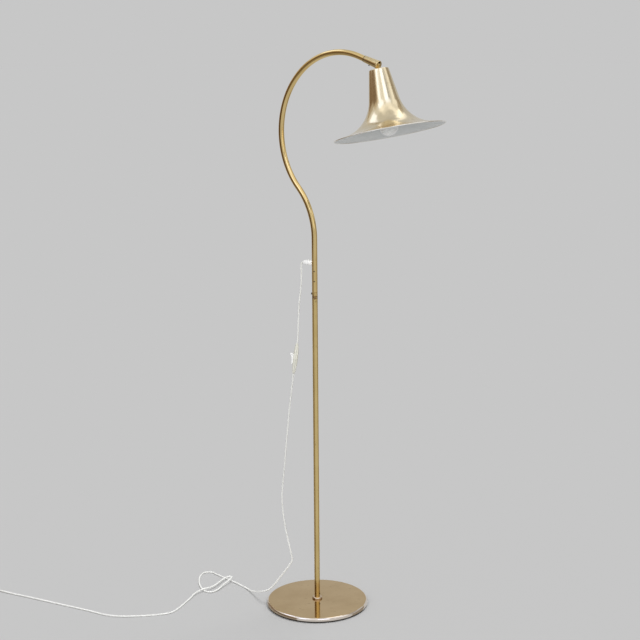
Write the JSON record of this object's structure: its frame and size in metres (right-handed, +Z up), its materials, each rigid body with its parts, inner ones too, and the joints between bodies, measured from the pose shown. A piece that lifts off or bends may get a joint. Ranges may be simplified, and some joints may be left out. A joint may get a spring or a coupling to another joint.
{
  "type": "floor lamp",
  "caption": "Slim brass floor lamp: round weighted base, straight pole, swan neck that lifts and swivels, tilting bell shade, and a hanging cord with a rocker switch.",
  "frame": {"origin": "on the floor, at the pole's axis under the middle of the round base", "axes": "+Z up along the pole, +X the way the neck carries the shade, +Y to the neck's left"},
  "size_m": [1.1328, 0.7108, 1.4039],
  "materials": {
    "satin_brass": "satin, lightly aged",
    "polished_brass": "polished",
    "cast_iron": "as cast",
    "black_felt": "felt",
    "steel": "plain",
    "dark_steel": "blackened",
    "white_plastic": "smooth, slightly soft",
    "ivory_plastic": "moulded",
    "rocker_white": "moulded, bright",
    "opal_glass": "opal white"
  },
  "bodies": {
    "stand": {"base_cover": "polished_brass", "base_weight": "cast_iron", "base_felt": "black_felt", "base_bolt": "steel", "base_washer": "steel", "foot_plug": "satin_brass", "foot_collar": "polished_brass", "foot_screw": "dark_steel", "pole": "satin_brass", "guide_bush": "polished_brass", "cord_lower": "white_plastic", "cord_coil": "white_plastic", "coil_tie": "white_plastic", "plug_body": "ivory_plastic", "plug_relief": "white_plastic", "plug_pins": "steel"},
    "lock": {"lock_screw": "dark_steel"},
    "rod": {"slide_rod": "polished_brass", "rod_stop": "dark_steel", "cord_upper": "white_plastic", "switch_back": "ivory_plastic", "switch_front": "ivory_plastic", "rocker_pin": "steel", "switch_contacts": "polished_brass", "switch_screws": "steel"},
    "rocker": {"switch_rocker": "rocker_white"},
    "neck": {"swan_neck": "satin_brass", "neck_bush": "polished_brass", "neck_screws": "dark_steel", "cord_grip": "white_plastic", "grip_screw": "white_plastic", "neck_flex": "white_plastic", "knuckle_sleeve": "satin_brass", "sleeve_screw": "dark_steel", "knuckle_pin": "polished_brass"},
    "head": {"knuckle_tongue": "polished_brass", "shade": "polished_brass", "stem_washer": "polished_brass", "stem_nut": "polished_brass", "holder_cap": "ivory_plastic", "holder_skirt": "ivory_plastic", "holder_insert": "ivory_plastic", "holder_contact": "polished_brass", "holder_thread": "polished_brass", "bulb_cap": "steel", "bulb_glass": "opal_glass"}
  },
  "joints": [
    {"name": "lock_screw_turn", "type": "hinge", "parent": "stand", "child": "lock", "pos_m": [-0.01, 0, 0.811], "axis": [-1, 0, 0], "range_deg": [0, 180]},
    {"name": "arm_lift", "type": "slide", "parent": "stand", "child": "rod", "axis": [0, 0, 1], "range_m": [0, 0.2]},
    {"name": "arm_swivel", "type": "hinge", "parent": "rod", "child": "neck", "pos_m": [0, 0, 0.8163], "axis": [0, 0, 1], "range_deg": [-170, 170]},
    {"name": "head_tilt", "type": "hinge", "parent": "neck", "child": "head", "pos_m": [0.20112, 0, 1.36791], "axis": [0, -1, 0], "range_deg": [-33, 45]},
    {"name": "switch_rocker", "type": "hinge", "parent": "rod", "child": "rocker", "pos_m": [-0.0491, -0.0251, 0.64539], "axis": [0.7071, -0.7071, 0], "range_deg": [-18, 0]}
  ]
}
